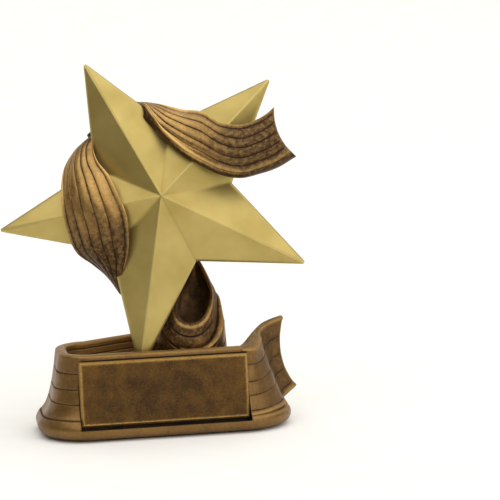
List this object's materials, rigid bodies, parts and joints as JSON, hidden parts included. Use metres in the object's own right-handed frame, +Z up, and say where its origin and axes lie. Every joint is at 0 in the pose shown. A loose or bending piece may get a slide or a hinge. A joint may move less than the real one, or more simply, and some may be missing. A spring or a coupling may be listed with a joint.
{
  "type": "star trophy",
  "caption": "Free-standing star award: a faceted gold star held over a low base by one bronze ribbon that swags, wraps, rolls into a scroll and ends in a swallow tail.",
  "frame": {"origin": "on the ground, under the middle of the base's rim", "axes": "+X to the viewer's right along the plaque, +Y away from the viewer, +Z up"},
  "size_m": [0.1955, 0.089, 0.2406],
  "materials": {
    "gold_resin": "satin",
    "bronze_resin": "satin",
    "plaque_bronze": "satin",
    "steel": "satin",
    "brass": "satin",
    "foam_tape": "matte",
    "felt": "matte"
  },
  "bodies": {
    "root": {"star": "gold_resin", "upper_drape": "bronze_resin", "left_drape": "bronze_resin", "upper_back_ribbon": "bronze_resin", "lower_back_ribbon": "bronze_resin", "drape_pins": "steel", "star_dowels": "steel", "star_foot_rod": "steel", "base_tail": "bronze_resin", "scroll": "bronze_resin", "scroll_coil": "bronze_resin", "base_rear_wall": "bronze_resin", "base_front_wall": "bronze_resin", "base_left_turn": "bronze_resin", "base_core": "bronze_resin", "plaque": "plaque_bronze", "plaque_tape": "foam_tape", "column_bolt": "steel", "bolt_washer": "steel", "column_insert": "brass", "felt_pad": "felt"}
  },
  "joints": []
}
